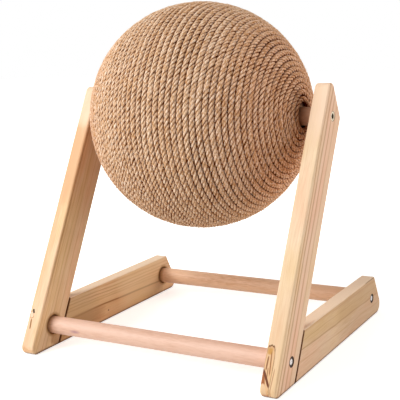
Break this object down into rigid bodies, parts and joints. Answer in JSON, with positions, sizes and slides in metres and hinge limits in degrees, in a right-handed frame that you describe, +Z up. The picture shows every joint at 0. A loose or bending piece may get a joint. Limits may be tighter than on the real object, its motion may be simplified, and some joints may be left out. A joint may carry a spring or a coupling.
{
  "type": "cat scratching ball",
  "caption": "Rope-wound scratching ball that spins on a dowel axle between two leaning wooden side frames, tied together by dowel crossbars.",
  "frame": {"origin": "On the floor, in the middle of the stand's width and of its length.", "axes": "+Z up; +X along the axle towards the right side frame; +Y to the back, the way the uprights lean."},
  "size_m": [0.286, 0.2734, 0.3456],
  "materials": {
    "pine": "planed and sanded, unvarnished",
    "beech": "turned dowel, unvarnished",
    "rope": "laid natural fibre, hairy",
    "shell": "moulded, matt",
    "tube": "wound board, matt",
    "steel": "zinc plated"
  },
  "bodies": {
    "stand": {"left_upright": "pine", "right_upright": "pine", "left_base_bar": "pine", "right_base_bar": "pine", "front_crossbar": "beech", "rear_crossbar": "beech", "axle": "beech", "left_axle_screw": "steel", "left_front_screw": "steel", "left_rear_screw": "steel", "right_axle_screw": "steel", "right_front_screw": "steel", "right_rear_screw": "steel", "left_upper_pin": "beech", "left_lower_pin": "beech", "right_upper_pin": "beech", "right_lower_pin": "beech"},
    "ball": {"ball_left_shell": "shell", "ball_right_shell": "shell", "bore_tube": "tube", "rope_left": "rope", "rope_middle": "rope", "rope_right": "rope"}
  },
  "joints": [
    {"name": "ball_spin", "type": "hinge", "parent": "stand", "child": "ball", "pos_m": [0, 0.00592, 0.23061], "axis": [1, 0, 0], "continuous": true}
  ]
}
